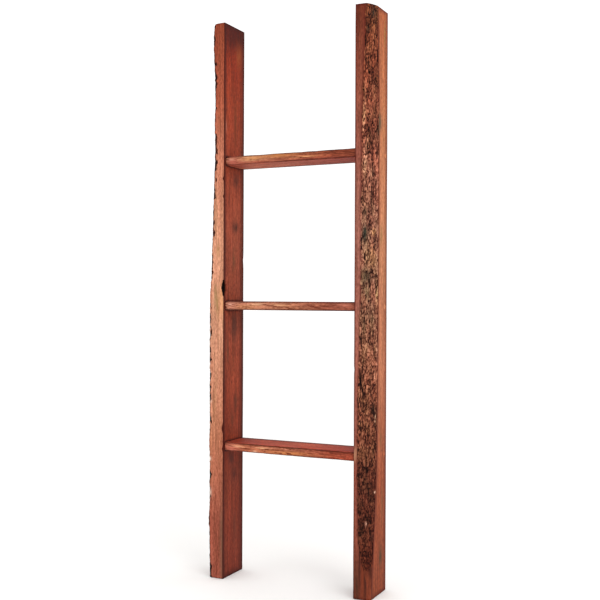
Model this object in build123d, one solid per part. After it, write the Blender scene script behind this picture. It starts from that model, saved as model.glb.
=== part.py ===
from build123d import *
import os

# A quilt ladder of reclaimed boards: two stiles sawn from the outside of a log, three rungs
# butted between them, and two wood screws under plugs at each rung end.
# Millimetres. X runs across the ladder, -Y is the front, Z is up, and the origin is on the
# floor at the middle of the ladder.

# Stiles, the two uprights
HEIGHT = 1219.0  # length of a stile
STILE_THICK = 38.0  # sawn thickness, across the ladder
STILE_DEPTH = 89.0  # sawn width, front to back

# Rungs, the three cross boards
RUNG_LENGTH = 308.0  # clear width between the stiles
RUNG_THICK = 19.0
RUNG_SET_BACK = 6.5  # from the stiles' front faces to the rungs' front edges
RUNG_EASE = 2.0  # rounding worn on a rung's long edges
RUNG_HEIGHTS = {"bottom": 290.0, "middle": 599.0, "top": 916.0}  # floor to mid-thickness

# Wane: the log's own round, barky surface that takes the place of a stile's outer front
# corner. Each station is its share of the stile's length, the width it takes off the front
# face, and the depth it takes off the outer face.
WANE = {
    "left": [
        (0.0, 5.0, 9.0),
        (0.12, 3.0, 6.0),
        (0.5, 3.0, 8.0),
        (0.58, 8.0, 18.0),
        (0.75, 15.0, 30.0),
        (0.9, 14.0, 30.0),
        (1.0, 11.0, 26.0),
    ],
    "right": [
        (0.0, 3.0, 5.0),
        (0.06, 18.0, 14.0),
        (0.12, 26.0, 22.0),
        (0.27, 28.0, 35.0),
        (0.5, 23.0, 38.0),
        (0.8, 22.0, 38.0),
        (0.93, 16.0, 33.0),
        (1.0, 13.0, 30.0),
    ],
}
WANE_BULGE = 0.07  # how far the log's round stands out of the straight line, as a share of it

# Open knot at the left stile's front inner corner
KNOT_HEIGHT = 638.0  # floor to its middle
KNOT_LENGTH = 35.0  # along the grain
KNOT_RADIUS = 7.0  # at its widest

# Fixings
PLUG_DIAMETER = 9.5
PLUG_LENGTH = 8.0
SCREW_LENGTH = 63.5
SCREW_DIAMETER = 4.2
SCREW_HEAD_DIAMETER = 8.2
SCREW_HEAD_HEIGHT = 3.0
SCREW_TIP_LENGTH = 6.0
RECESS_WIDTH = 1.2
RECESS_SPAN = 4.6
RECESS_DEPTH = 1.8
SCREW_CLEARANCE = 0.2  # round a screw's shank in the stile's hole
SCREW_ROWS = {"front": 0.25, "back": 0.75}  # shares of the outer face's flat, from the wane back

FRONT = -STILE_DEPTH / 2
BACK = STILE_DEPTH / 2
INNER = RUNG_LENGTH / 2
OUTER = INNER + STILE_THICK
SIDES = {"left": -1, "right": 1}
ON_END = (Align.CENTER, Align.CENTER, Align.MIN)


def wane_section(side, share, across, depth):
    """A stile's level section at one station of its wane."""
    sign = SIDES[side]
    front_end = Vector(sign * (OUTER - across), FRONT)
    side_end = Vector(sign * OUTER, FRONT + depth)
    chord = side_end - front_end
    outward = Vector(sign * depth, -across).normalized()
    crown = front_end + chord * 0.5 + outward * (WANE_BULGE * chord.length)
    sawn = Polyline(
        side_end, (sign * OUTER, BACK), (sign * INNER, BACK), (sign * INNER, FRONT), front_end
    )
    wane = ThreePointArc(front_end, crown, side_end)
    return Pos(0, 0, share * HEIGHT) * make_face(sawn + wane)


def stile_blank(side):
    """A sawn upright with its wane and no holes."""
    sections = [wane_section(side, *station) for station in WANE[side]]
    return loft(sections, ruled=True)


def knot_hole():
    """The lens-shaped hollow of a fallen knot, standing along the grain."""
    half = KNOT_LENGTH / 2
    rim = ThreePointArc((0, -half), (KNOT_RADIUS, 0), (0, half))
    lens = make_face(rim + Line((0, half), (0, -half)))
    return Pos(-INNER, FRONT, KNOT_HEIGHT) * revolve(Plane.XZ * lens, Axis.Z)


def screw_body(clearance=0.0):
    """A countersunk wood screw without its recess, head down at 0 and shank along +Z."""
    head = SCREW_HEAD_DIAMETER / 2
    shank = SCREW_DIAMETER / 2 + clearance
    tip_start = SCREW_LENGTH - SCREW_TIP_LENGTH
    outline = Polyline(
        (0, 0), (head, 0), (shank, SCREW_HEAD_HEIGHT), (shank, tip_start), (0, SCREW_LENGTH), (0, 0)
    )
    return revolve(Plane.XZ * make_face(outline), Axis.Z)


def screw():
    """The screw with its cross recess."""
    arm = Box(RECESS_SPAN, RECESS_WIDTH, RECESS_DEPTH, align=ON_END)
    return screw_body() - arm - Rot(0, 0, 90) * arm


def plug():
    """A wood plug, its outer end at 0 and its length along +Z."""
    return Cylinder(PLUG_DIAMETER / 2, PLUG_LENGTH, align=ON_END)


def screw_row_y(side, row):
    """How far back a row of screws stands, on the flat behind the stile's deepest wane."""
    flat_front = FRONT + max(depth for _, _, depth in WANE[side])
    return flat_front + (BACK - flat_front) * SCREW_ROWS[row]


def at_fixing(shape, side, row, height, below_face):
    """Turn a shape's +Z into the ladder, with its 0 that far below the stile's outer face."""
    sign = SIDES[side]
    place = Pos(sign * (OUTER - below_face), screw_row_y(side, row), height)
    return place * Rot(0, -90 * sign, 0) * shape


def stile(side):
    """A stile with the plug and screw holes of all its rungs."""
    board = stile_blank(side)
    for height in RUNG_HEIGHTS.values():
        for row in SCREW_ROWS:
            board -= at_fixing(plug(), side, row, height, 0)
            board -= at_fixing(screw_body(SCREW_CLEARANCE), side, row, height, PLUG_LENGTH)
    if side == "left":
        board -= knot_hole()
    return board


def rung(height):
    """A cross board with its worn edges and the screws' pilot holes."""
    depth = STILE_DEPTH - RUNG_SET_BACK
    board = Box(RUNG_LENGTH, depth, RUNG_THICK)
    board = fillet(board.edges().filter_by(Axis.X), RUNG_EASE)
    board = Pos(0, BACK - depth / 2, height) * board
    for side in SIDES:
        for row in SCREW_ROWS:
            board -= at_fixing(screw_body(), side, row, height, PLUG_LENGTH)
    return board


def ladder():
    """Every piece by its node name."""
    pieces = {f"stile_{side}": stile(side) for side in SIDES}
    for place, height in RUNG_HEIGHTS.items():
        pieces[f"rung_{place}"] = rung(height)
        for side in SIDES:
            for row in SCREW_ROWS:
                spot = f"{place}_{side}_{row}"
                pieces[f"screw_{spot}"] = at_fixing(screw(), side, row, height, PLUG_LENGTH)
                pieces[f"plug_{spot}"] = at_fixing(plug(), side, row, height, 0)
    return pieces


os.makedirs("parts", exist_ok=True)
for name, piece in ladder().items():
    export_step(piece, f"parts/{name}.step")
    print(name, round(piece.volume))
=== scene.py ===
import bpy
import math
import numpy as np
from mathutils import Matrix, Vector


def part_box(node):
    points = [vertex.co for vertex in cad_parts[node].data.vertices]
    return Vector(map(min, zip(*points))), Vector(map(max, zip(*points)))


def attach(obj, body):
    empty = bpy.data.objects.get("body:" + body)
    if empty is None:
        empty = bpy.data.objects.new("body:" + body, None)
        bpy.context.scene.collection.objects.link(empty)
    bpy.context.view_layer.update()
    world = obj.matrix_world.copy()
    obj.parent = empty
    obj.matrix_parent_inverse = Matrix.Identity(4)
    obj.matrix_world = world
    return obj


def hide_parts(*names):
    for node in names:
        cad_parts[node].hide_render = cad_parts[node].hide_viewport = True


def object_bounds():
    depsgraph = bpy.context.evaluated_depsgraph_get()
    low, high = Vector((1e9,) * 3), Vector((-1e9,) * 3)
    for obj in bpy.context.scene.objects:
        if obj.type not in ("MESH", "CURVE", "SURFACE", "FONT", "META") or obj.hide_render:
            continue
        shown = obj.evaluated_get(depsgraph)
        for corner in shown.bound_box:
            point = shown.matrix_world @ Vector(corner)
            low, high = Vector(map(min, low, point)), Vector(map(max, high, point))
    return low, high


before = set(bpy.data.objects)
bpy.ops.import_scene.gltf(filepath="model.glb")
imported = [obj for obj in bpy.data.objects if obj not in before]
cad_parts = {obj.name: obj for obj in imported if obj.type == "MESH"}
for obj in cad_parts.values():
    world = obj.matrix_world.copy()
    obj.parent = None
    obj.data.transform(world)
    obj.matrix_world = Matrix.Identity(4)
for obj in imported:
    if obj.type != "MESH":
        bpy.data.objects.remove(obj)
cadLow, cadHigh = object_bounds()
print("frame loaded,", len(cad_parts), "CAD nodes")

mm = 0.001  # mesh work is in millimetres, and turns to metres when a mesh is made


# An sRGB hex colour as linear red, green and blue, with alpha 1
def toLinear(hexColour):
    parts = [int(hexColour[i:i + 2], 16) / 255 for i in (1, 3, 5)]
    return [c / 12.92 if c <= 0.04045 else ((c + 0.055) / 1.055) ** 2.4 for c in parts] + [1.0]


# Adds one shader node, named without its "ShaderNode". Settings and links go by socket name or
# number, or by property name.
def addNode(tree, kind, settings=None, links=None):
    node = tree.nodes.new("ShaderNode" + kind)
    for key, value in (settings or {}).items():
        if key == "stops":  # a colour ramp's places and colours
            ramp = node.color_ramp.elements
            while len(ramp) < len(value):
                ramp.new(1.0)
            for element, (place, colour) in zip(ramp, value):
                element.position = place
                element.color = toLinear(colour)
        elif isinstance(key, int) or key in node.inputs:
            node.inputs[key].default_value = value
        else:
            setattr(node, key, value)
    for key, source in (links or {}).items():
        socket = source if isinstance(source, bpy.types.NodeSocket) else source.outputs[0]
        tree.links.new(socket, node.inputs[key])
    return node


# Repeatable noise over arrays of points. It starts from a hash of whole-number grid corners.
def cornerValue(ix, iy, seed):
    n = ix.astype(np.int64) * 374761393 + iy.astype(np.int64) * 668265263 + seed * 974634777
    n = n & 0xffffffff
    n = ((n ^ (n >> 13)) * 1274126177) & 0xffffffff
    return ((n ^ (n >> 16)) & 0xffff) / 65535.0


def smoothNoise(x, y, seed):
    x, y = np.broadcast_arrays(np.asarray(x, float), np.asarray(y, float))
    ix, iy = np.floor(x), np.floor(y)
    fx, fy = x - ix, y - iy
    fx, fy = fx * fx * (3 - 2 * fx), fy * fy * (3 - 2 * fy)
    low = cornerValue(ix, iy, seed) * (1 - fx) + cornerValue(ix + 1, iy, seed) * fx
    high = cornerValue(ix, iy + 1, seed) * (1 - fx) + cornerValue(ix + 1, iy + 1, seed) * fx
    return low * (1 - fy) + high * fy


def layeredNoise(x, y, seed, layers=3):
    total, weight, size = 0.0, 0.0, 1.0
    for layer in range(layers):
        total = total + smoothNoise(x * size, y * size, seed + 17 * layer) / size
        weight += 1 / size
        size *= 2
    return total / weight


# Irregular cells: the gap to the next cell's edge, and a number of the cell's own
def cellPattern(x, y, seed):
    ix, iy = np.floor(x), np.floor(y)
    nearest = np.full(x.shape, 9.0)
    second = np.full(x.shape, 9.0)
    own = np.zeros(x.shape)
    for dx in (-1, 0, 1):
        for dy in (-1, 0, 1):
            cx, cy = ix + dx, iy + dy
            px = cx + 0.1 + 0.8 * cornerValue(cx, cy, seed)
            py = cy + 0.1 + 0.8 * cornerValue(cx, cy, seed + 1)
            distance = np.hypot(x - px, y - py)
            closer = distance < nearest
            second = np.where(closer, nearest, np.minimum(second, distance))
            own = np.where(closer, cornerValue(cx, cy, seed + 2), own)
            nearest = np.where(closer, distance, nearest)
    return second - nearest, own


# 0 below low, 1 above high, and smooth between
def ease(low, high, value):
    t = np.clip((value - low) / (high - low), 0, 1)
    return t * t * (3 - 2 * t)


# The mean over a square of neighbours
def blurred(values, reach):
    total = np.zeros_like(values)
    for shift in range(-reach, reach + 1):
        total += np.roll(values, shift, 0)
    again = np.zeros_like(values)
    for shift in range(-reach, reach + 1):
        again += np.roll(total, shift, 1)
    return again / (2 * reach + 1) ** 2


# Places from 0 to 1, closer together at both ends by gather
def spread(count, gather=0.0):
    t = np.arange(count) / count
    return ((1 - gather) * t + gather * (0.5 - 0.5 * np.cos(math.pi * t)))[None, :]


# The sides of a board's section joined into one ring, with the name of each point's side
def joinSides(sides):
    first = np.concatenate([side[1] for side in sides], axis=1)
    second = np.concatenate([side[2] for side in sides], axis=1)
    face = np.concatenate([[side[0]] * side[1].shape[1] for side in sides])
    return first, second, face


# Unit steps round a ring, and their lengths
def ringSteps(first, second):
    stepFirst = np.roll(first, -1, 1) - np.roll(first, 1, 1)
    stepSecond = np.roll(second, -1, 1) - np.roll(second, 1, 1)
    length = np.maximum(np.hypot(stepFirst, stepSecond), 1e-6)
    return stepFirst / length, stepSecond / length, length


# Faces between rows of points whose columns close into a ring
def ringFaces(rows, count, flip):
    index = np.arange(rows * count).reshape(rows, count)
    following = np.roll(index, -1, 1)
    corners = [index[:-1], following[:-1], following[1:], index[1:]]
    if flip:
        corners = corners[:1] + corners[:0:-1]
    return np.stack(corners, axis=-1).reshape(-1, 4).tolist()


def makeMesh(name, points, faces, slots, attributes):
    mesh = bpy.data.meshes.new(name)
    mesh.from_pydata((points * mm).tolist(), [], faces)
    mesh.polygons.foreach_set("material_index", slots)
    mesh.polygons.foreach_set("use_smooth", [True] * len(faces))
    for key, values in attributes.items():
        isColour = values.ndim == 2
        layer = mesh.attributes.new(key, "FLOAT_COLOR" if isColour else "FLOAT", "POINT")
        layer.data.foreach_set("color" if isColour else "value", values.astype(np.float32).ravel())
    mesh.validate()
    mesh.update()
    piece = bpy.data.objects.new(name, mesh)
    bpy.context.scene.collection.objects.link(piece)
    return piece


# Soft coloured marks drawn out along the grain: their colour at every point, and how much of it
def paintSpots(spots, face, along, across, seed):
    shape = np.broadcast(along, across).shape
    colour = np.zeros(shape + (3,))
    weight = np.full(shape, 1e-6)
    bare = np.ones(shape)
    streaks = 0.35 + 1.1 * layeredNoise(across / 3.0, along / 26, seed)
    for where, marks in spots.items():
        onFace = (face == where)[None, :]
        for atAlong, atAcross, halfAlong, halfAcross, hexColour, strength in marks:
            away = np.hypot((along - atAlong) / halfAlong, (across - atAcross) / halfAcross)
            share = np.clip(strength * np.exp(-away * away) * streaks, 0, 1) * onFace
            near = share + 1e-5 * np.exp(-0.01 * away * away) * onFace
            colour += near[..., None] * np.array(toLinear(hexColour)[:3])
            weight += near
            bare *= 1 - share
    return np.concatenate([colour / weight[..., None], (1 - bare)[..., None]], axis=-1)


# A CAD node's lowest and highest corners in millimetres
def boxInMm(node):
    low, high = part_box(node)
    return np.array(low) / mm, np.array(high) / mm


# Stiles: live-edge studs, with the log's barky wane in place of the outer front corner
stileLow, stileHigh = boxInMm("stile_right")
stileThick, stileDepth, stileLength = stileHigh - stileLow
innerX, frontY = stileLow[:2]
rungBoxes = [boxInMm(node) for node in ("rung_bottom", "rung_middle", "rung_top")]

# The right stile: bark over most of its outer front corner, thickest at mid-height.
# A list of pairs goes by share of the length, from the foot. Arrises are 1 front inner,
# 2 back outer and 3 back inner. Marks are height, place across, half height, half width,
# colour and strength.
rightStile = {
    "name": "stileRight",
    "node": "stile_right",
    "side": 1,
    "seed": 41,
    "wane": [  # share of the length, width off the front face, depth off the outer face
        (0, 3, 5), (0.03, 8, 8), (0.065, 20, 14), (0.115, 27, 21), (0.17, 28, 28), (0.25, 29, 34),
        (0.35, 27, 36), (0.5, 23, 38), (0.8, 22, 38), (0.92, 16, 34), (1, 13, 30),
    ],
    "bulge": 0.07,  # how far the wane stands out of the straight line, as a share of it
    "barkThick": [(0, 0.3), (0.05, 1.2), (0.12, 2.0), (0.45, 2.2), (0.6, 2.8), (0.8, 3.2), (1, 1.8)],
    "barkStart": 0.05,  # share of the length below which the bark has gone
    "plates": [(0, 0.1), (0.45, 0.1), (0.54, 0.3), (0.6, 0.8), (1, 1.0)],  # 1 big plates, 0 scales
    "cracks": [(0, 0.3), (0.35, 0.3), (0.5, 0.5), (0.75, 0.9), (0.9, 0.6), (1, 0.2)],
    "pits": [(0, 0.2), (0.35, 0.2), (0.45, 0.6), (0.55, 0.3), (0.68, 0.6), (0.85, 0.7), (1, 0.1)],
    "crestShading": 0.7,  # how much painted highlight its plates' raised edges get, and painted shade their dips
    "pale": 0.26,  # how much one flake differs from the next
    "ragged": 1.4,  # how far the bark's front edge wanders, either way
    "fray": 6.0,  # how far it breaks over the front face
    "arris": 1.3,  # rounding of the arrises
    "jointShade": 2.5,  # how fast the painted shade round a rung's end fades
    "backShadeRim": 0.5,  # how fast the dark line along the back arrises fades, partly stain and partly painted shade
    "cornerWear": 1.5,  # how far the top's outer front corner is worn down
    "chips": [(1, 470, 5, 1.0), (1, 905, 7, 0.8), (3, 260, 9, 1.2)],  # arris, height, half length, depth
    "spots": {
        "outer": [
            (981, 45, 17, 8, "#4a4632", 1.0), (1168, 70, 26, 4, "#8f6a38", 0.7),
            (749, 55, 18, 7, "#86683c", 0.7), (660, 58, 7, 1.6, "#5f2d1c", 0.9),
            (320, 57, 20, 5, "#6e4c2a", 0.7), (190, 65, 42, 5, "#6a4a2c", 0.6),
            (80, 58, 21, 8, "#3c3220", 1.0), (560, 72, 60, 3, "#8d4a31", 0.5),
        ],
        "front": [
            (30, 6, 50, 9, "#3d2416", 0.8), (297, 3, 14, 5, "#a8775a", 1.0),
            (60, 26, 46, 13, "#4c2014", 1.0), (62, 14, 46, 1.8, "#1e0a06", 1.0),
            (46, 21, 34, 2.6, "#8e3a1c", 0.8), (40, 27, 40, 1.6, "#260d08", 1.0),
            (20, 33, 24, 2.4, "#8a3c1e", 0.7),
        ],
        "wane": [
            (70, 12, 40, 16, "#4a1f13", 0.9), (1200, 18, 12, 10, "#2e2a22", 0.9),
            (1165, 5, 9, 5, "#383026", 0.9), (960, 42, 14, 6, "#3a3426", 0.9),
            (748, 8, 20, 9, "#2c2a24", 1.0), (752, 30, 7, 5, "#b3905c", 0.8),
            (700, 26, 22, 12, "#8a6840", 0.6), (660, 12, 17, 13, "#383226", 1.0),
            (628, 12, 16, 12, "#4a3e2a", 0.7), (388, 36, 18, 9, "#2c2016", 0.9),
            (371, 40, 10, 1.2, "#cfae92", 1.0), (217, 40, 2.5, 3, "#d8b8a0", 1.0),
            (155, 16, 4, 2.5, "#a98270", 1.0), (500, 44, 24, 1.8, "#cf9c84", 0.9),
            (455, 38, 18, 1.6, "#c08a70", 0.8), (990, 4, 34, 2, "#c08c6c", 0.8),
            (905, 8, 36, 4.5, "#bd8a70", 0.9), (870, 19, 30, 3.0, "#c08a72", 0.8),
            (1065, 22, 22, 7, "#4a2519", 0.8), (955, 24, 20, 8, "#3f2118", 0.8),
            (894, 12, 8, 5, "#33160f", 0.9), (872, 31, 14, 3, "#1c0c08", 1.0),
            (857, 38, 9, 3, "#1c0c08", 1.0), (838, 25, 34, 1.4, "#241009", 1.0),
            (848, 6, 5, 4, "#33160f", 0.8), (792, 10, 10, 6, "#4c4634", 0.8),
            (580, 22, 26, 16, "#7a5e48", 0.6), (452, 4, 18, 3, "#241009", 1.0),
            (140, 8, 16, 6, "#2c150e", 0.9), (620, 40, 22, 3.0, "#a8805c", 0.8),
            (880, 26, 14, 2.2, "#1d0d09", 0.9), (1130, 2, 46, 1.2, "#2a0e09", 0.9),
            (560, 8, 20, 2.4, "#2a140d", 0.8), (67, 36, 3, 3, "#d8bca6", 1.0),
            (127, 30, 6, 5, "#6a463a", 0.8), (60, 14, 26, 4, "#2a0f09", 0.8),
            (50, 30, 30, 5, "#8f3a1e", 0.7),
        ],
        "inner": [
            (480, 40, 50, 16, "#4a2a20", 0.5), (1010, 60, 30, 12, "#4d2c1e", 0.6),
            (160, 30, 36, 14, "#54301f", 0.5),
        ],
        "back": [
            (760, 18, 40, 10, "#4c2a1e", 0.6),
        ],
    },
    "knots": [],
}

# The left stile: a narrower wane that faces away, and a knot fallen out beside the middle rung
leftStile = {
    "name": "stileLeft",
    "node": "stile_left",
    "side": -1,
    "seed": 73,
    "wane": [
        (0, 6, 9), (0.05, 5, 8), (0.11, 2.5, 6), (0.14, 4, 7), (0.25, 2.5, 6), (0.5, 2.5, 8),
        (0.575, 7.5, 17), (0.65, 10, 23), (0.72, 13, 28), (0.77, 16, 30), (0.82, 13.5, 30),
        (0.86, 16, 31), (0.9, 14, 30), (0.95, 10, 28), (1, 11, 26),
    ],
    "bulge": 0.07,
    "barkThick": [(0, 2.0), (0.3, 2.6), (0.6, 3.2), (1, 3.0)],
    "barkStart": -0.1,
    "plates": [(0, 0.4), (1, 0.5)],
    "cracks": [(0, 1.0), (1, 1.0)],
    "pits": [(0, 1.0), (1, 1.0)],
    "crestShading": 0.7,
    "pale": 0.26,
    "ragged": 1.6,
    "fray": 18.0,
    "arris": 1.3,
    "jointShade": 2.5,
    "backShadeRim": 0.5,
    "cornerWear": 9.0,
    "chips": [(1, 877, 4, 1.5), (1, 838, 3, 1.2), (1, 330, 8, 1.4), (1, 285, 6, 1.0), (3, 700, 10, 1.2)],
    "spots": {
        "inner": [
            (1158, 64, 24, 12, "#8a4420", 0.8), (1190, 30, 30, 30, "#3f110b", 0.7),
            (1198, 66, 18, 24, "#2c0a07", 0.8), (1002, 50, 52, 8, "#5a3018", 0.6),
            (992, 8, 12, 1.2, "#b4705a", 0.9), (879, 50, 18, 14, "#43241a", 0.7),
            (773, 50, 12, 14, "#301812", 0.9), (700, 45, 26, 6, "#5a3820", 0.7),
            (552, 48, 30, 13, "#33211b", 0.9), (500, 17, 32, 5, "#553422", 0.6),
            (385, 54, 22, 9, "#3f2618", 0.7), (345, 40, 24, 9, "#452a1b", 0.6),
            (261, 35, 16, 14, "#3a2220", 0.7), (224, 50, 24, 15, "#381a14", 0.7),
            (104, 52, 32, 9, "#43241a", 0.5),
        ],
        "front": [
            (622, 21, 24, 3.2, "#75683a", 0.8), (600, 16, 26, 3, "#8a7340", 0.6),
            (610, 6, 30, 6.5, "#d89a62", 0.6), (720, 15, 15, 5, "#9a7444", 0.6),
            (572, 13, 20, 1.2, "#6a3c20", 0.8), (80, 3, 100, 5, "#6c4c3a", 0.9),
            (262, 35, 4, 4, "#f4dcc8", 1.0), (188, 34, 8, 4, "#eecab4", 1.0),
            (389, 35, 4, 4, "#f4dcc8", 1.0),
        ],
        "outer": [
            (500, 60, 60, 16, "#4c2c1e", 0.6), (900, 55, 50, 14, "#5a3420", 0.5),
        ],
        "back": [
            (330, 20, 46, 11, "#4c2a1e", 0.6),
        ],
    },
    # half its length along the grain, its reach across the front and inner faces, and its depth
    "knots": [{"height": 638, "half": 17.5, "across": 5.0, "back": 9.5, "sink": 11.0}],
}


stileSides = ("front", "wane", "outer", "back", "inner", "ends")  # and their material slots' order


# Points round a stile at every level: distance u from its inner face, and v from its front face
def stileOutline(p, z):
    seed = p["seed"]
    share = z / stileLength
    stations = np.array(p["wane"], float)
    wander = layeredNoise(z / 30, 0.5, seed) - 0.5 + 0.6 * (layeredNoise(z / 7, 3.5, seed) - 0.5)
    across = np.interp(share, stations[:, 0], stations[:, 1]) + 2 * p["ragged"] * wander
    across = np.clip(across, 1.0, stileThick - 6)
    depth = np.interp(share, stations[:, 0], stations[:, 2])
    depth = depth + 1.6 * (layeredNoise(z / 60, 7.5, seed + 3) - 0.5)

    def arris(number):
        chips = sum(deep * np.exp(-((z - height) / half) ** 2)
                    for which, height, half, deep in p["chips"] if which == number)
        return p["arris"] * (0.7 + 0.6 * layeredNoise(z / 45, number * 3.3, seed + 4)) + 2 * chips

    frontInner, backOuter, backInner = arris(1), arris(2), arris(3)
    turn = spread(4) * math.pi / 2
    t = spread(19, 0.5)
    front = ("front", frontInner + (stileThick - across - frontInner) * t, 0 * (t + z))
    t = spread(46)
    lift = 4 * p["bulge"] * t * (1 - t)
    wane = ("wane", stileThick - across * (1 - t) + lift * depth, depth * t - lift * across)
    t = spread(18, 0.6)
    outer = ("outer", stileThick + 0 * (t + z), depth + (stileDepth - backOuter - depth) * t)
    outerTurn = ("back", stileThick - backOuter * (1 - np.cos(turn)),
                 stileDepth - backOuter * (1 - np.sin(turn)))
    t = spread(12, 0.5)
    back = ("back", stileThick - backOuter - (stileThick - backOuter - backInner) * t,
            stileDepth + 0 * (t + z))
    backTurn = ("back", backInner * (1 - np.sin(turn)), stileDepth - backInner * (1 - np.cos(turn)))
    t = spread(28, 0.7)
    inner = ("inner", 0 * (t + z), stileDepth - backInner - (stileDepth - backInner - frontInner) * t)
    innerTurn = ("inner", frontInner * (1 - np.cos(turn)), frontInner * (1 - np.sin(turn)))
    u, v, face = joinSides((front, wane, outer, outerTurn, back, backTurn, inner, innerTurn))
    return u, v, face, across, depth


# The bark's patterns: sizes across and along the stile in millimetres, and depths as shares of
# the bark's thickness. Fissures are across, along, thinness and seed, long ones first.
barkPattern = {
    "plate": (9, 30), "plateGap": 0.22, "scale": (4.4, 9), "scaleGap": 0.16, "sliver": (2.6, 17),
    "grit": (2.4, 5), "gritDepth": 0.5, "hole": (4.5, 13), "holeDepth": 0.7,
    "fissures": [(7, 70, 0.040, 40), (5, 30, 0.034, 43)], "fissureDepth": 0.6,
}


# The bark's height, 0 at the bottom of a fissure and 1 on top of a plate, and how pale each
# flake is. s is the distance across the wane, z the height.
def barkRelief(s, z, p):
    seed = p["seed"]
    levels = z / stileLength
    big = np.interp(levels, *np.array(p["plates"]).T)
    cracked = np.interp(levels, *np.array(p["cracks"]).T)
    pitted = np.interp(levels, *np.array(p["pits"]).T)
    isBig = ease(0.3, 0.8, big)
    warpS = s + 5 * (layeredNoise(s / 12, z / 40, seed) - 0.5)
    warpZ = z + 16 * (layeredNoise(s / 9, z / 26, seed + 9) - 0.5)

    def cells(size, number):
        return cellPattern(warpS / size[0], warpZ / size[1], seed + number)

    plateGap, plateOwn = cells(barkPattern["plate"], 20)
    scaleGap, scaleOwn = cells(barkPattern["scale"], 30)
    sliverGap, sliverOwn = cells(barkPattern["sliver"], 35)
    relief = 0.72 + 0.16 * (plateOwn - 0.5) + (0.1 + 0.12 * (1 - isBig)) * (scaleOwn - 0.5)
    wide, tall = barkPattern["grit"]
    relief = relief + barkPattern["gritDepth"] * (layeredNoise(s / wide, z / tall, seed + 60, 2) - 0.5)
    relief = relief - barkPattern["plateGap"] * (1 - ease(0.0, 0.07, plateGap)) * isBig
    scaleDepth = barkPattern["scaleGap"] * (1 - isBig) + 0.05
    relief = relief - scaleDepth * (1 - ease(0.0, 0.14, scaleGap))
    for wide, tall, thin, number in barkPattern["fissures"]:
        line = np.abs(layeredNoise(warpS / wide, warpZ / tall, seed + number, 2) - 0.5)
        region = layeredNoise(s / 13, z / 36, seed + number + 1)
        here = ease(0.6 - 0.22 * cracked, 0.68 - 0.22 * cracked, region)
        relief = relief - barkPattern["fissureDepth"] * (1 - ease(0.0, thin, line)) * here
    wide, tall = barkPattern["hole"]
    hole = layeredNoise(warpS / wide, warpZ / tall, seed + 50)
    hole = ease(0.83 - 0.16 * pitted, 0.9 - 0.16 * pitted, hole)
    relief = relief - barkPattern["holeDepth"] * hole
    pale = 0.5 * (scaleOwn - 0.5) + (0.3 + 0.5 * isBig) * (plateOwn - 0.5)
    pale = pale + 0.9 * ease(0.78, 0.95, sliverOwn) * ease(0.02, 0.12, sliverGap) - 0.12
    return np.clip(relief, 0, 1), pale


# A knot that has fallen out: how far inside its hollow each point is, and how far it sinks
def knotHollow(knot, z, u, v):
    up = (z - knot["height"]) / knot["half"]
    lens = np.clip(1 - up * up, 0, 1)
    inFront = ease(-0.6, 0.8, knot["across"] * lens - u) * (v < 3)
    inInner = ease(-0.6, 0.8, knot["back"] * lens - v) * (u < 3)
    inside = np.maximum(inFront, inInner) * (lens > 0)
    return inside, inside * knot["sink"] * 0.75 * np.sqrt(lens)


# Flat saw-cut ends: new points and faces for a stile's top and foot
def sawnEnds(points, count, drop, side):
    centre = np.array([side * (innerX + stileThick / 2), frontY + stileDepth / 2])
    extra, faces = [], []
    for row, height, isTop in ((len(drop) - 1, stileLength, True), (0, 0.0, False)):
        start = len(points) + sum(len(e) for e in extra)
        for inset in (0.06, 0.4):
            ring = points[row * count:(row + 1) * count].copy()
            ring[:, :2] += (centre - ring[:, :2]) * inset
            ring[:, 2] = height - (drop[row] * 0.35 * (1 - inset * 2) if isTop else 0)
            extra.append(ring)
        extra.append(np.array([[centre[0], centre[1], height]]))
        for k in range(count):
            n = (k + 1) % count
            a, b, c, d = start + k, start + n, start + count + k, start + count + n
            rim = (row * count + k, row * count + n, b, a)
            for loop in (rim, (a, b, d, c), (c, d, start + 2 * count)):
                faces.append(loop if isTop == (side > 0) else loop[::-1])
    return np.concatenate(extra), faces


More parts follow.
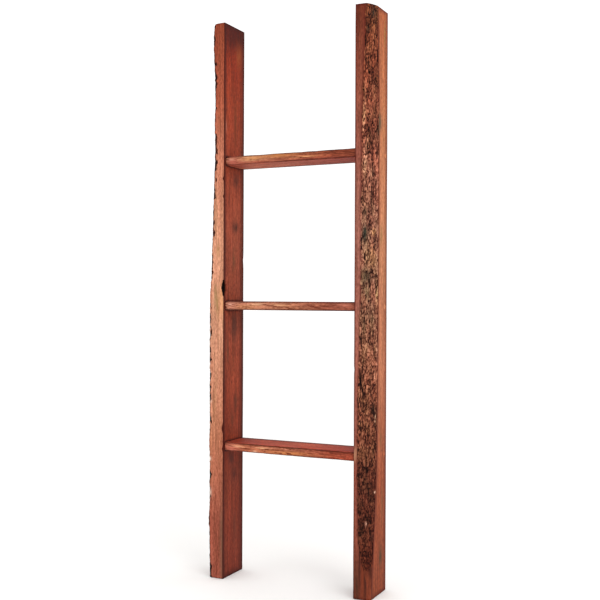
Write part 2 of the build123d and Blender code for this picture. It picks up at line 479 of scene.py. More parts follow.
def makeStile(p):
    rows = 700  # 1.7 mm apart
    z = np.linspace(0, stileLength, rows)[:, None]
    share = z / stileLength
    seed, side = p["seed"], p["side"]
    u, v, face, across, depth = stileOutline(p, z)
    count = u.shape[1]
    isFront, isWane = (face == "front")[None, :], (face == "wane")[None, :]
    isOuter, isInner = (face == "outer")[None, :], (face == "inner")[None, :]

    # distance across the wane from its front edge, and across each sawn face
    chord = np.hypot(across, depth)
    s = np.hypot(u - (stileThick - across), v)
    place = np.where(isWane, s, np.where(isOuter | isInner, v, u))

    # where there is bark, and how far it frays over the front face
    toFrontEdge = stileThick - across - u
    fray = 1 - ease(0, 3, toFrontEdge + p["fray"] * (layeredNoise(u / 5, z / 12, seed + 5) - 0.5))
    fray = np.where(isFront, fray, 0)
    gone = 0.04 * (layeredNoise(s / 6, z / 30, seed + 50) - 0.5)
    present = ease(p["barkStart"] - 0.02, p["barkStart"] + 0.02, share + gone)
    bark = np.where(isWane, present, fray * present)

    # how deep each point lies, for bark, for bare wane and for sawn wood
    relief, pale = barkRelief(s, z + 0 * u, p)
    thick = np.interp(share, *np.array(p["barkThick"]).T)
    thin = 1 - 0.5 * ease(0.88, 1.0, s / chord)
    smoothWood = 0.6 + 0.35 * layeredNoise(s / 3, z / 60, seed + 55)
    relief = np.where(isWane, relief * present + smoothWood * (1 - present), relief)
    sawn = 0.25 * layeredNoise(place / 5, z / 90, seed + 70)
    frayed = 0.3 * fray * present * thick * (1 - relief)
    sink = np.where(isWane, thick * (1 - relief) * thin, frayed + sawn)

    # painted highlight on the plates' crests and painted shade in their dips, paler flakes, and dark lines
    # where the bark ends at its back and front
    backLine = (1 - ease(0, 2.6, chord - s)) * ease(0.4, 0.6, layeredNoise(z / 17, 2.5, seed + 58))
    frontLine = (1 - ease(0, 1.8, s)) * ease(0.4, 0.6, layeredNoise(z / 12, 6.5, seed + 59))
    pale = pale - 1.1 * backLine - 0.8 * frontLine
    flake = (p["crestShading"] * (relief - blurred(relief, 2)) + p["pale"] * pale) * isWane * present

    # the surface itself, with the knot's hollow and the grain that bends round it
    stepU, stepV, _ = ringSteps(u, v)
    hollow, shift = np.zeros_like(u), np.zeros_like(u)
    u2, v2 = u - stepV * sink, v + stepU * sink
    for knot in p["knots"]:
        inside, deeper = knotHollow(knot, z, u, v)
        hollow = np.maximum(hollow, inside)
        u2, v2 = u2 + deeper, v2 + deeper
        shift = shift + 11 * np.exp(-((z - knot["height"]) / 36) ** 2 - (v / 17) ** 2 - (u / 17) ** 2)
    u2, v2 = np.clip(u2, 0, stileThick), np.clip(v2, 0, stileDepth)

    # distance to the nearest arris or rung, for a dark line: partly stain and partly painted shade along
    # the arrises, painted shade round each rung's end
    toBack = p["backShadeRim"] * (stileDepth - v)
    edge = np.where(isFront, np.minimum(np.abs(u), np.abs(toFrontEdge)), np.minimum(u, stileThick - u))
    edge = np.where(isInner, np.minimum(v, toBack), edge)
    # painted shade on the inner face round each rung's end, where the parts meet
    for low, high in rungBoxes:
        aboveRung = np.maximum(np.abs(z - (low[2] + high[2]) / 2) - (high[2] - low[2]) / 2, 0)
        toRung = np.hypot(aboveRung, np.maximum(low[1] - frontY - v, 0))
        edge = np.where(isInner, np.minimum(edge, p["jointShade"] * toRung), edge)
    edge = np.where(isOuter, np.minimum(v - depth, toBack), edge)
    edge = np.where(isWane, np.minimum(s, chord - s), edge)
    edge = np.minimum(edge, 0.8 * np.minimum(z, stileLength - z))
    edge = edge + 9 * (1 - present) * np.where(isWane, 1, isFront * (toFrontEdge < 6)) * ease(3, 9, z)

    # the top's rim is worn round, most at the outer front corner, and the foot's a little
    drop = 1.2 + p["cornerWear"] * np.exp(-(np.hypot(u - stileThick, v) / 14) ** 2)
    points = np.stack([side * (innerX + u2), frontY + v2, z + 0 * u], axis=-1)
    points[..., 2] -= drop * np.exp(-(stileLength - z) / 5.0)
    points[0, :, 2] += 1.0
    points = points.reshape(-1, 3)
    endPoints, endFaces = sawnEnds(points, count, drop, side)
    spare = len(endPoints)

    slots = [stileSides.index(f) for f in face] * (rows - 1)
    slots += [stileSides.index("ends")] * len(endFaces)
    marks = paintSpots(p["spots"], face, z, place, seed + 80)
    attributes = {"spots": np.concatenate([marks.reshape(-1, 4), np.zeros((spare, 4))])}
    for key, values, fill in (("bark", bark, 0), ("relief", relief, 1), ("flake", flake, 0),
                              ("edge", edge, 12), ("hollow", hollow, 0), ("grainShift", shift, 0)):
        attributes[key] = np.concatenate([values.ravel(), np.full(spare, float(fill))])
    faces = ringFaces(rows, count, side < 0) + endFaces
    return makeMesh(p["name"], np.concatenate([points, endPoints]), faces, slots, attributes)


# Rungs: weathered three-quarter-inch board, rough along the front edge.
# Marks are distance from the left end, place across, half length, half width, colour and strength.
topRung = {
    "name": "rungTop",
    "node": "rung_top",
    "seed": 101,
    # front and underside tones darken towards the right end: painted shade from the right stile
    "frontTones": [(0.16, "#b68a70"), (0.5, "#a66a50"), (0.84, "#92503a")],
    "topTones": [(0.16, "#964c3c"), (0.5, "#aa5544"), (0.84, "#9c4838")],
    "underTones": [(0.16, "#bc7058"), (0.5, "#a45b46"), (0.84, "#984232")],
    "frontRound": 2.6,  # rounding of the front arrises
    "endGap": 3.0,  # how far the right end is worn short at its top front corner
    "leftWear": 4.5,  # extra rounding at the left end
    "rough": 1.0,  # depth of the front edge's splits and fibres
    "backShadeRim": 0.25,  # how fast the painted shade along the back arrises of the top and underside fades
    "spots": {
        "front": [
            (18, 9, 20, 10, "#b05a4c", 0.9), (14, 12, 6, 2.0, "#dba58c", 0.8),
            (62, 12, 20, 4, "#d0925c", 0.8), (120, 14, 50, 3.5, "#bd7a45", 0.7),
            (190, 8, 24, 1.6, "#dc9a68", 0.9), (160, 9, 14, 1.6, "#5a2414", 0.9),
            (130, 6, 12, 1.2, "#6a3020", 0.8), (70, 3, 60, 2.6, "#a5503f", 0.9),
            (220, 3, 60, 1.8, "#93463a", 0.7), (285, 10, 26, 8, "#582518", 0.7),
            (250, 12, 22, 1.2, "#5c2718", 0.8),
        ],
        "under": [
            (150, 10, 130, 12, "#a8523f", 0.6), (20, 20, 26, 30, "#8a3a2e", 0.7),
        ],
    },
}
middleRung = {
    "name": "rungMiddle",
    "node": "rung_middle",
    "seed": 131,
    # front and underside tones darken towards the right end: painted shade from the right stile
    "frontTones": [(0.16, "#c28b77"), (0.5, "#ba836a"), (0.84, "#955a4a")],
    "topTones": [(0.16, "#964c3c"), (0.5, "#aa5544"), (0.84, "#9c4838")],
    "underTones": [(0.16, "#ae6652"), (0.5, "#a05a48"), (0.84, "#904438")],
    "frontRound": 2.6,
    "endGap": 0.6,
    "leftWear": 3.0,
    "rough": 0.8,
    "backShadeRim": 0.3,
    "spots": {
        "front": [
            (14, 9, 13, 8, "#cc8874", 0.6), (12, 12, 5, 1.6, "#efc0a8", 0.7),
            (78, 13, 16, 2.4, "#e6b48c", 0.8), (52, 7, 30, 5, "#c98a58", 0.6),
            (130, 11, 22, 2.0, "#d9a078", 0.7), (200, 12, 14, 2.0, "#7a3a2a", 0.7),
            (236, 8, 20, 1.4, "#6e3224", 0.8), (285, 12, 16, 3, "#cc7c66", 0.6),
        ],
    },
}
bottomRung = {
    "name": "rungBottom",
    "node": "rung_bottom",
    "seed": 151,
    # front and underside tones darken towards the right end: painted shade from the right stile
    "frontTones": [(0.16, "#b4735a"), (0.5, "#ab735d"), (0.84, "#9f513d")],
    "topTones": [(0.16, "#9a402a"), (0.5, "#b7583a"), (0.84, "#ac442c")],
    "underTones": [(0.16, "#ae6652"), (0.5, "#a05a48"), (0.84, "#904438")],
    "frontRound": 2.8,
    "endGap": 0.6,
    "leftWear": 2.5,
    "rough": 1.0,
    "backShadeRim": 0.2,
    "spots": {
        "front": [
            (16, 9, 18, 9, "#c26a5a", 0.8), (30, 12, 14, 1.8, "#eab488", 1.0),
            (96, 12, 14, 1.6, "#eeb486", 1.0), (75, 4, 6, 1.8, "#eab090", 0.9),
            (150, 6, 60, 3.5, "#c67a44", 0.8), (120, 10, 20, 1.2, "#6e3420", 0.8),
            (255, 15, 4, 2.6, "#2c100b", 1.0), (278, 13, 20, 1.2, "#6a2c1c", 0.9),
        ],
        "top": [
            (110, 14, 70, 12, "#a8483a", 0.6), (130, 40, 40, 10, "#8c4630", 0.5),
        ],
    },
}


# Points round a rung at every place along it: v from its front edge, and h from its underside
def rungOutline(p, x, depth, thick):
    worn = p["leftWear"] * np.exp(-x / 14)
    r = p["frontRound"] * (0.7 + 0.7 * layeredNoise(x / 18, 0.5, p["seed"])) + worn
    rBack = 1.8 * (0.7 + 0.6 * layeredNoise(x / 30, 4.5, p["seed"]))
    turn = spread(6) * math.pi / 2
    t = spread(14)
    front = ("front", 0 * (x + t), r + (thick - 2 * r) * t)
    frontTurn = ("front", r * (1 - np.cos(turn)), thick - r * (1 - np.sin(turn)))
    t = spread(34) ** 1.3
    top = ("top", r + (depth - r - rBack) * t, thick + 0 * (x + t))
    backTurn = ("back", depth - rBack * (1 - np.sin(turn)), thick - rBack * (1 - np.cos(turn)))
    t = spread(8)
    back = ("back", depth + 0 * (x + t), thick - rBack - (thick - 2 * rBack) * t)
    underTurn = ("back", depth - rBack * (1 - np.cos(turn)), rBack * (1 - np.sin(turn)))
    t = 1 - (1 - spread(34)) ** 1.3
    under = ("under", depth - rBack - (depth - r - rBack) * t, 0 * (x + t))
    lastTurn = ("front", r * (1 - np.sin(turn)), r * (1 - np.cos(turn)))
    return joinSides((front, frontTurn, top, backTurn, back, underTurn, under, lastTurn))


def makeRung(p):
    low, high = boxInMm(p["node"])
    length, depth, thick = high - low
    seed = p["seed"]
    columns = 260  # 1.2 mm apart
    x = np.linspace(0, length, columns)[:, None]
    v, h, face = rungOutline(p, x, depth, thick)
    count = v.shape[1]

    # fibres all round, and splits along the front edge
    stepV, stepH, size = ringSteps(v, h)
    around = np.cumsum(size / 2, axis=1) + 0.06 * x
    fibre = layeredNoise(around / 1.9, x / 30, seed + 10)
    split = ease(0.66, 0.76, layeredNoise(around / 1.7 + x / 50, x / 26, seed + 20))
    nearFront = 1 - ease(3, 12, v)
    sink = (0.2 + 0.9 * nearFront * p["rough"]) * fibre + 1.1 * split * nearFront * p["rough"]
    v2, h2 = np.clip(v + stepH * sink, 0, depth), np.clip(h - stepV * sink, 0, thick)
    gap = p["endGap"] * ease(0.2, 1.0, h2 / thick) * np.exp(-v2 / 30)
    x2 = x - gap * ease(length - 10, length, x)
    points = np.stack([low[0] + x2, low[1] + v2, low[2] + h2], axis=-1).reshape(-1, 3)

    # flat ends, each a fan about its middle
    middle = [(low[1] + high[1]) / 2, (low[2] + high[2]) / 2]
    points = np.concatenate([points, [[low[0]] + middle, [high[0]] + middle]])
    faces = ringFaces(columns, count, True)
    lastColumn = (columns - 1) * count
    for k in range(count):
        n = (k + 1) % count
        faces.append((k, n, columns * count))
        faces.append((lastColumn + n, lastColumn + k, columns * count + 1))
    slotOf = {"front": 0, "back": 0, "top": 1, "under": 2}
    slots = [slotOf[f] for f in face] * (columns - 1) + [3] * (2 * count)

    isFront, isBack = face == "front", face == "back"
    place = np.where(isFront | isBack, h, v)
    marks = paintSpots(p["spots"], face, x, place, seed + 80)
    # the dark rim: along the front's arrises, as a wider band of painted shade at the back of the top and
    # underside, and over the whole back face
    edge = np.where(isFront, np.minimum(h, thick - h), np.minimum(v + 2, p["backShadeRim"] * (depth - v)))
    edge = np.where(isBack, 0.5, edge)
    attributes = {
        "spots": np.concatenate([marks.reshape(-1, 4), np.zeros((2, 4))]),
        "split": np.concatenate([(split * nearFront).ravel(), [0, 0]]),
        "edge": np.concatenate([edge.ravel(), [9, 9]]),
    }
    return makeMesh(p["name"], points, faces, slots, attributes)


# Pine, rough sawn or weathered, then rubbed with a red-brown oil stain. It looks matt, with
# straight grain, greenish heartwood streaks, and a darker line along each arris, partly stain and partly
# painted shade.
def stainedPine(name, look):
    material = bpy.data.materials.new(name)
    material.use_nodes = True
    tree = material.node_tree
    tree.nodes.clear()
    place = addNode(tree, "TexCoord").outputs["Object"]
    shift = addNode(tree, "Attribute", {"attribute_name": "grainShift"}).outputs["Fac"]
    shift = addNode(tree, "Math", {"operation": "MULTIPLY", 1: mm}, {0: shift})
    shift = addNode(tree, "CombineXYZ", None, {"X": shift, "Y": shift})
    moved = addNode(tree, "VectorMath", {"operation": "ADD"}, {0: place, 1: shift})
    along = 2 if look["grainAlong"] == "Z" else 0

    # the colour along the board from its tones; on the rungs the front and underside tones darken towards
    # the right end as painted shade
    axes = addNode(tree, "SeparateXYZ", None, {"Vector": place})
    low, high = look["toneSpan"]
    share = addNode(tree, "MapRange", {"From Min": low, "From Max": high},
                    {"Value": axes.outputs[along]})
    colour = addNode(tree, "ValToRGB", {"stops": look["tones"]}, {"Fac": share})

    # streaks and fibres, each a noise stretched along the grain, darkening the colour in turn
    fine = None
    for acrossMm, alongMm, detail, stops in look["grain"]:
        scale = [1 / (acrossMm * mm)] * 3
        scale[along] = 1 / (alongMm * mm)
        stretched = addNode(tree, "Mapping", {"Scale": scale}, {"Vector": moved})
        fine = addNode(tree, "TexNoise", {"Scale": 1.0, "Detail": detail, "Roughness": 0.6},
                       {"Vector": stretched})
        tint = addNode(tree, "ValToRGB", {"stops": stops}, {"Fac": fine.outputs["Fac"]})
        colour = addNode(tree, "VectorMath", {"operation": "MULTIPLY"}, {0: colour, 1: tint})

    # growth rings about the log's heart, which leans a little, so they run out along the board
    heartX, heartY, heartZ, lean = look["heart"]
    leaning = addNode(tree, "Mapping", {
        "Location": (-heartX * mm, -heartY * mm, -heartZ * mm), "Rotation": lean}, {"Vector": moved})
    scale = [1 / (30 * mm)] * 3
    scale[along] = 1 / (260 * mm)
    stretched = addNode(tree, "Mapping", {"Scale": scale}, {"Vector": moved})
    wobble = addNode(tree, "TexNoise", {"Scale": 1.0, "Detail": 2.0}, {"Vector": stretched})
    wobble = addNode(tree, "VectorMath", {"operation": "SCALE", "Scale": 7 * mm},
                     {0: wobble.outputs["Color"]})
    ringPlace = addNode(tree, "VectorMath", {"operation": "ADD"}, {0: leaning, 1: wobble})
    rings = addNode(tree, "TexWave", {
        "wave_type": "RINGS", "rings_direction": look["grainAlong"], "wave_profile": "SAW",
        "Scale": math.pi / (10 * look["ringMm"] * mm), "Distortion": 0.0}, {"Vector": ringPlace})
    tint = addNode(tree, "ValToRGB", {"stops": look["ringStops"]}, {"Fac": rings.outputs["Fac"]})
    colour = addNode(tree, "VectorMath", {"operation": "MULTIPLY"}, {0: colour, 1: tint})

    # a dark line along the arrises, partly stain and partly painted shade, with painted shade round the
    # rungs' ends, then the soft marks
    brighter = {"operation": "SCALE", "Scale": look["gain"]}
    colour = addNode(tree, "VectorMath", brighter, {0: colour})
    edge = addNode(tree, "Attribute", {"attribute_name": "edge"}).outputs["Fac"]
    edge = addNode(tree, "Math", {"operation": "MULTIPLY_ADD", 1: -3.0},
                   {0: fine.outputs["Fac"], 2: edge})
    rim = addNode(tree, "MapRange", {
        "From Min": look["rimMm"] - 1.0, "From Max": -1.3, "To Max": look["rimDepth"]}, {"Value": edge})
    colour = addNode(tree, "Mix", {"data_type": "RGBA", 7: toLinear(look["rimStainAndShadeColour"])},
                     {0: rim, 6: colour}).outputs[2]
    if look["marked"]:
        spots = addNode(tree, "Attribute", {"attribute_name": "spots"})
        colour = addNode(tree, "Mix", {"data_type": "RGBA"}, {
            0: spots.outputs["Alpha"], 6: colour, 7: spots.outputs["Color"]}).outputs[2]
    if "split" in look:
        split = addNode(tree, "Attribute", {"attribute_name": "split"}).outputs["Fac"]
        colour = addNode(tree, "Mix", {"data_type": "RGBA", 7: toLinear(look["split"])},
                         {0: split, 6: colour}).outputs[2]

    height = addNode(tree, "Math", {"operation": "MULTIPLY_ADD", 1: 0.35}, {
        0: rings.outputs["Fac"], 2: fine.outputs["Fac"]})
    low, high = look["roughness"]
    rough = addNode(tree, "MapRange", {"To Min": low, "To Max": high},
                    {"Value": fine.outputs["Fac"]}).outputs[0]
    normal = addNode(tree, "Bump", {"Strength": look["bump"], "Distance": 0.5 * mm}, {"Height": height})
    if "bark" in look:
        colour, rough, normal = addBark(tree, look["bark"], place, colour, rough, height)
    # painted shade darkens the inside of the knot's hollow
    hollow = addNode(tree, "Attribute", {"attribute_name": "hollow"}).outputs["Fac"]
    colour = addNode(tree, "Mix", {"data_type": "RGBA", 7: toLinear(look["knotHoleShadeColour"])},
                     {0: hollow, 6: colour}).outputs[2]

    surface = addNode(tree, "BsdfPrincipled", {"IOR": 1.5, "Specular IOR Level": 0.12}, {
        "Base Color": colour, "Roughness": rough, "Normal": normal})
    addNode(tree, "OutputMaterial", None, {"Surface": surface})
    return material


# Weathered pine bark left on the wane: dry, cracked plates, near black in the fissures, with painted
# highlight in tan along the plates' raised edges. The mesh's own relief sets how dark each point is, with
# finer patterns on top.
def addBark(tree, look, place, woodColour, woodRough, woodHeight):
    mask, relief, flake = (addNode(tree, "Attribute", {"attribute_name": key}).outputs["Fac"]
                           for key in ("bark", "relief", "flake"))
    noises = {}
    for key, acrossMm, alongMm, detail in look["noises"]:
        scale = (1 / (acrossMm * mm), 1 / (acrossMm * mm), 1 / (alongMm * mm))
        stretched = addNode(tree, "Mapping", {"Scale": scale}, {"Vector": place})
        noises[key] = addNode(tree, "TexNoise", {"Scale": 1.0, "Detail": detail, "Roughness": 0.5},
                              {"Vector": stretched}).outputs["Fac"]

    # how near the surface a point is: grit, relief, flakes with painted highlight and shade on the crests,
    # less thin strokes and a net of cracks
    share = look["gritShare"]
    level = addNode(tree, "Math", {"operation": "MULTIPLY_ADD", 1: share, 2: -0.5 * share},
                    {0: noises["grit"]})
    level = addNode(tree, "Math", {"operation": "ADD"}, {0: level, 1: relief})
    level = addNode(tree, "Math", {"operation": "ADD"}, {0: level, 1: flake})
    strokes = addNode(tree, "MapRange", {
        "From Min": 0.33, "From Max": 0.43, "To Min": -look["strokeDepth"], "To Max": 0.0},
        {"Value": noises["strokes"]})
    level = addNode(tree, "Math", {"operation": "ADD"}, {0: level, 1: strokes})
    bend = addNode(tree, "TexNoise", {"Scale": 1 / (9 * mm), "Detail": 2.0}, {"Vector": place})
    bend = addNode(tree, "VectorMath", {"operation": "SCALE", "Scale": 7 * mm},
                   {0: bend.outputs["Color"]})
    bent = addNode(tree, "VectorMath", {"operation": "ADD"}, {0: place, 1: bend})
    acrossMm, alongMm = look["netMm"]
    scale = (1 / (acrossMm * mm), 1 / (acrossMm * mm), 1 / (alongMm * mm))
    bent = addNode(tree, "Mapping", {"Scale": scale}, {"Vector": bent})
    net = addNode(tree, "TexVoronoi", {"feature": "DISTANCE_TO_EDGE", "Scale": 1.0},
                  {"Vector": bent})
    net = addNode(tree, "MapRange", {
        "From Min": 0.04, "From Max": 0.16, "To Min": -look["netDepth"], "To Max": 0.04},
        {"Value": net.outputs["Distance"]})
    level = addNode(tree, "Math", {"operation": "ADD"}, {0: level, 1: net})

    # its colour by height, then the soft marks, weathered patches and that depth
    axes = addNode(tree, "SeparateXYZ", None, {"Vector": place})
    share = addNode(tree, "MapRange", {"From Max": float(stileLength * mm)},
                    {"Value": axes.outputs["Z"]})
    colour = addNode(tree, "ValToRGB", {"stops": look["tones"]}, {"Fac": share})
    spots = addNode(tree, "Attribute", {"attribute_name": "spots"})
    colour = addNode(tree, "Mix", {"data_type": "RGBA"}, {
        0: spots.outputs["Alpha"], 6: colour, 7: spots.outputs["Color"]}).outputs[2]
    for fac, stops in ((noises["patch"], look["patches"]), (level, look["depths"])):
        tint = addNode(tree, "ValToRGB", {"stops": stops}, {"Fac": fac})
        colour = addNode(tree, "VectorMath", {"operation": "MULTIPLY"}, {0: colour, 1: tint})
    brighter = {"operation": "SCALE", "Scale": look["gain"]}
    colour = addNode(tree, "VectorMath", brighter, {0: colour})

    # bark gives way to wood along a ragged line
    torn = addNode(tree, "Math", {"operation": "MULTIPLY_ADD", 1: look["tornMix"]},
                   {0: noises["grit"], 2: mask})
    torn = addNode(tree, "MapRange", {"From Min": 0.72, "From Max": 0.84}, {"Value": torn})
    colour = addNode(tree, "Mix", {"data_type": "RGBA"}, {
        0: torn, 6: woodColour, 7: colour}).outputs[2]
    rough = addNode(tree, "Mix", {"data_type": "FLOAT", 3: look["roughness"]},
                    {0: torn, 2: woodRough}).outputs[0]
    height = addNode(tree, "Math", {"operation": "MULTIPLY", 1: 3.0}, {0: noises["grit"]})
    height = addNode(tree, "Mix", {"data_type": "FLOAT"}, {
        0: torn, 2: woodHeight, 3: height}).outputs[0]
    normal = addNode(tree, "Bump", {"Strength": look["bump"], "Distance": 0.5 * mm}, {"Height": height})
    return colour, rough, normal


rightBark = {
    # sizes across and along in millimetres, and detail. Real grit is under half a millimetre:
    # it is drawn coarser, so that it shows.
    "noises": [("grit", 2.3, 4.5, 1.5), ("strokes", 2.0, 10, 1.0), ("patch", 14, 40, 2.0)],
    "netMm": (5, 10),  # one mesh of the net of cracks
    "netDepth": 0.24,
    "gritShare": 0.6,
    "strokeDepth": 0.24,
    "tornMix": 0.6,  # how ragged the line is where bark gives way to wood
    "roughness": 0.9,
    "bump": 0.6,
    "gain": 8.3,  # makes up for what the tints below take away
    "tones": [(0.0, "#54281a"), (0.18, "#502a1e"), (0.28, "#704230"), (0.36, "#80503c"), (0.48, "#805644"),
              (0.62, "#8c6250"), (0.76, "#86503e"), (0.88, "#7c4632"), (1.0, "#724028")],
    "patches": [(0.36, "#c6c4b6"), (0.5, "#cdc2bc"), (0.64, "#d4beb6")],
    "depths": [(0.05, "#1c1416"), (0.25, "#382e2e"), (0.5, "#625c5c"), (0.68, "#7e7e7e"),
               (0.85, "#929696"), (1.0, "#aab6ba")],
}
leftBark = {**rightBark, "tones": [(0.0, "#2a130d"), (0.3, "#3a1c14"), (0.6, "#4a261a"), (1.0, "#3a1a12")]}

stileLook = {
    "grainAlong": "Z",
    "toneSpan": (0.0, float(stileLength * mm)),
    # sizes across and along in millimetres, detail, and colours that multiply the stain's. Real
    # fibres are a few hundredths of a millimetre wide: the finest here are coarser, so that they show.
    "grain": [
        (28, 260, 2.0, [(0.3, "#e4dad6"), (0.7, "#ffffff")]),
        (9, 140, 2.0, [(0.3, "#fff2ee"), (0.5, "#f6f0ec"), (0.68, "#e0ded2")]),
        (4.2, 80, 3.0, [(0.3, "#ccc4c0"), (0.7, "#ffffff")]),
        (2.6, 8, 2.0, [(0.3, "#bcb4b0"), (0.66, "#ffffff")]),
        (1.4, 40, 4.0, [(0.3, "#d0c8c4"), (0.7, "#ffffff")]),
    ],
    "ringMm": 4.5,  # growth rings this far apart
    "ringStops": [(0.0, "#ffffff"), (0.6, "#faf4f0"), (0.88, "#ecdcd4"), (1.0, "#fdfaf8")],
    "gain": 2.3,
    "marked": True,  # shows the soft marks
    "rimMm": 5.0,  # width of the dark line along the arrises, partly stain and partly painted shade
    "rimDepth": 0.9,
    # the rim's colour: stain along the arrises with painted shade there
    "rimStainAndShadeColour": "#4a0f08",
    "knotHoleShadeColour": "#0d0503",  # painted shade inside a knot's hole
    "roughness": (0.6, 0.85),
    "bump": 0.4,
}
barkFace = {"ringStops": [(0.0, "#ffffff"), (1.0, "#ffffff")], "rimMm": 2.4}  # shows no rings
plainFaces = {  # the same on both stiles
    "back": {"tones": [(0.0, "#6a3424"), (0.5, "#8a4c36"), (1.0, "#733a26")]},
    "ends": {"tones": [(0.0, "#3f1d14"), (1.0, "#5f2c1e")]},
}
# tones go by share of the length, from the foot
stileFaces = {
    "right": {
        **plainFaces,
        "wane": {**barkFace, "bark": rightBark,
                 "tones": [(0.0, "#733825"), (0.05, "#85432c"), (0.1, "#5e2a1c"), (1.0, "#7a4431")]},
        "front": {**barkFace, "bark": rightBark, "rimMm": 5.0,
                  "tones": [(0.0, "#6e3624"), (0.1, "#925444"), (0.35, "#9e6658"), (0.6, "#98675c"),
                            (0.85, "#804838"), (1.0, "#632d1d")]},
        "outer": {"rimMm": 9.0,
                  "tones": [(0.0, "#824328"), (0.2, "#965436"), (0.4, "#b0785a"), (0.6, "#b68260"),
                            (0.85, "#ae734e"), (1.0, "#ac6842")]},
        "inner": {"rimMm": 9.0, "tones": [(0.0, "#5e2a1e"), (0.5, "#743629"), (1.0, "#6a2c1e")]},
    },
    "left": {
        **plainFaces,
        "wane": {**barkFace, "bark": leftBark, "tones": [(0.0, "#6e3420"), (1.0, "#7a4431")]},
        "front": {**barkFace, "bark": leftBark, "rimDepth": 0.5,
                  "tones": [(0.0, "#985646"), (0.1, "#925242"), (0.25, "#b0765c"), (0.45, "#c6987e"),
                            (0.65, "#c8947a"), (0.85, "#9e5640"), (1.0, "#88442e")]},
        "outer": {"rimMm": 6.0, "tones": [(0.0, "#75402c"), (0.5, "#9c6246"), (1.0, "#85482f")]},
        # a wide, near black rim along the inner face's arrises: painted shade over some stain
        "inner": {"rimMm": 12.0, "rimDepth": 1.0, "rimStainAndShadeColour": "#360b06",
                  "tones": [(0.0, "#783626"), (0.3, "#863c26"), (0.6, "#914d38"), (0.85, "#984328"),
                            (0.94, "#863118"), (1.0, "#57180b")]},
    },
}
# the log's heart in millimetres, and how it leans in radians
hearts = {"right": (87, 60, 0, (0.02, 0.035, 0)), "left": (-87, 60, 0, (0.025, -0.03, 0))}

for side, p in (("left", leftStile), ("right", rightStile)):
    piece = makeStile(p)
    for face in stileSides:
        finish = "BarkOnPine" if face == "wane" else "SawnStainedPine"
        look = {**stileLook, "heart": hearts[side], **stileFaces[side][face]}
        piece.data.materials.append(stainedPine(p["name"] + face.capitalize() + finish, look))
    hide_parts(p["node"])
    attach(piece, "root")
    print(p["name"], "made,", len(piece.data.polygons), "faces")

rungLook = {
    **stileLook,
    "grainAlong": "X",
    "toneSpan": (-0.154, 0.154),
    "grain": [
        (10, 90, 3.0, [(0.3, "#fff0e8"), (0.5, "#f6eee8"), (0.7, "#dccdbc")]),
        (2.4, 34, 3.0, [(0.3, "#a0948c"), (0.7, "#ffffff")]),
        (2.2, 8, 2.0, [(0.3, "#b0a49e"), (0.66, "#ffffff")]),
        (1.3, 34, 4.0, [(0.3, "#c0b4ae"), (0.7, "#ffffff")]),
    ],
    "split": "#6a2c1a",  # colour inside a split
    "gain": 2.6,
    # the rungs' rim along their arrises is partly stain and partly painted shade
    "rimMm": 4.0,
    "rimDepth": 1.0,
    "rimStainAndShadeColour": "#380c06",
}
endTones = [(0.0, "#5c2818"), (1.0, "#5c2818")]
for p in (topRung, middleRung, bottomRung):
    low, high = boxInMm(p["node"])
    heart = (0, 10, (low[2] + high[2]) / 2 - 60, (0, 0.03, 0.02))
    piece = makeRung(p)
    for face, tones in (("Front", p["frontTones"]), ("Top", p["topTones"]),
                        ("Under", p["underTones"]), ("Ends", endTones)):
        look = {**rungLook, "tones": tones, "heart": heart}
        piece.data.materials.append(stainedPine(p["name"] + face + "WeatheredStainedPine", look))
    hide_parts(p["node"])
    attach(piece, "root")
    print(p["name"], "made,", len(piece.data.polygons), "faces")


# Steel, cold headed, zinc plated and tumbled: a soft grey-yellow shine, unevenly dulled
zincLook = {"dull": "#a39c7c", "bright": "#c9c5b4", "tumbleMm": 1.5, "roughness": (0.28, 0.45)}


def zincPlatedSteel():
    material = bpy.data.materials.new("zincPlatedSteel")
    material.use_nodes = True
    tree = material.node_tree
    tree.nodes.clear()
    place = addNode(tree, "TexCoord").outputs["Object"]
    scale = 1 / (zincLook["tumbleMm"] * mm)
    tumble = addNode(tree, "TexNoise", {"Scale": scale, "Detail": 3.0}, {"Vector": place})
    stops = [(0.3, zincLook["dull"]), (0.7, zincLook["bright"])]
    colour = addNode(tree, "ValToRGB", {"stops": stops}, {"Fac": tumble.outputs["Fac"]})
    low, high = zincLook["roughness"]
    rough = addNode(tree, "MapRange", {"To Min": low, "To Max": high},
                    {"Value": tumble.outputs["Fac"]})
    surface = addNode(tree, "BsdfPrincipled", {"Metallic": 1.0}, {
        "Base Color": colour, "Roughness": rough})
    addNode(tree, "OutputMaterial", None, {"Surface": surface})
    return material


# Plugs and screws keep their CAD shapes. A plug is stained like the face that it closes.
steel = zincPlatedSteel()
plugWood = {}
for side in ("left", "right"):
    look = {**stileLook, "heart": hearts[side], **stileFaces[side]["outer"],
            "rimDepth": 0.0, "marked": False, "gain": 2.6}
    plugWood[side] = stainedPine(side + "PlugStainedPine", look)
for name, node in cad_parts.items():
    kind = name.split("_")[0]
    if kind in ("plug", "screw"):
        node.data.materials.clear()
        node.data.materials.append(steel if kind == "screw" else plugWood[name.split("_")[2]])
print("plugs and screws finished")

# Pale painted floor, an even white sky and one soft key light: sizes in metres, power in watts
stage = {
    "floorSize": 60.0,
    "floorColour": "#f6f5f3",
    "sky": 1.14,
    "keyPower": 26.0,
    "keySize": 1.6,
    "keyPlace": (2.2, -1.6, 1.8),
}

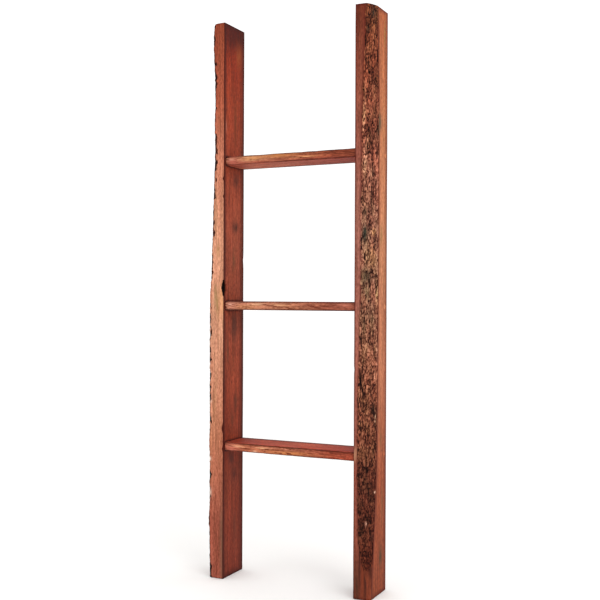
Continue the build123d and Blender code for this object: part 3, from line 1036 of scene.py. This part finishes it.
floorMesh = bpy.data.meshes.new("floor")
half = stage["floorSize"] / 2
corners = [(-half, -half, 0), (half, -half, 0), (half, half, 0), (-half, half, 0)]
floorMesh.from_pydata(corners, [], [(0, 1, 2, 3)])
floor = bpy.data.objects.new("floor", floorMesh)
bpy.context.scene.collection.objects.link(floor)
floorPaint = bpy.data.materials.new("paleFloorPaint")
floorPaint.use_nodes = True
floorShader = floorPaint.node_tree.nodes["Principled BSDF"]
floorShader.inputs["Base Color"].default_value = toLinear(stage["floorColour"])
floorShader.inputs["Roughness"].default_value = 0.9
floorShader.inputs["Specular IOR Level"].default_value = 0.1
floor.data.materials.append(floorPaint)

world = bpy.data.worlds.new("studio")
world.use_nodes = True
world.node_tree.nodes["Background"].inputs["Color"].default_value = (1, 1, 1, 1)
world.node_tree.nodes["Background"].inputs["Strength"].default_value = stage["sky"]
bpy.context.scene.world = world

key = bpy.data.lights.new("key", "AREA")
key.energy = stage["keyPower"]
key.size = stage["keySize"]
keyLight = bpy.data.objects.new("key", key)
keyLight.location = stage["keyPlace"]
keyLight.rotation_mode = "QUATERNION"
keyLight.rotation_quaternion = (keyLight.location - (cadLow + cadHigh) / 2).to_track_quat("Z", "Y")
bpy.context.scene.collection.objects.link(keyLight)
print("floor and lights placed")

# Place in metres, angles in degrees, lens in millimetres
view = {"place": (0.9106, -1.8664, 0.6177), "azimuth": 25.77, "pitch": 0.156, "roll": 0.238, "lens": 57.72}
camera = bpy.data.cameras.new("camera")
camera.lens = view["lens"]
camera.sensor_width = 36
cameraObject = bpy.data.objects.new("camera", camera)
turn = Matrix.Rotation(math.radians(view["azimuth"]), 4, "Z")
tilt = Matrix.Rotation(math.radians(90 - view["pitch"]), 4, "X")
roll = Matrix.Rotation(math.radians(view["roll"]), 4, "Z")
cameraObject.matrix_world = Matrix.Translation(view["place"]) @ turn @ tilt @ roll
bpy.context.scene.collection.objects.link(cameraObject)
bpy.context.scene.camera = cameraObject
bpy.context.scene.view_settings.view_transform = "Standard"
print("camera placed")
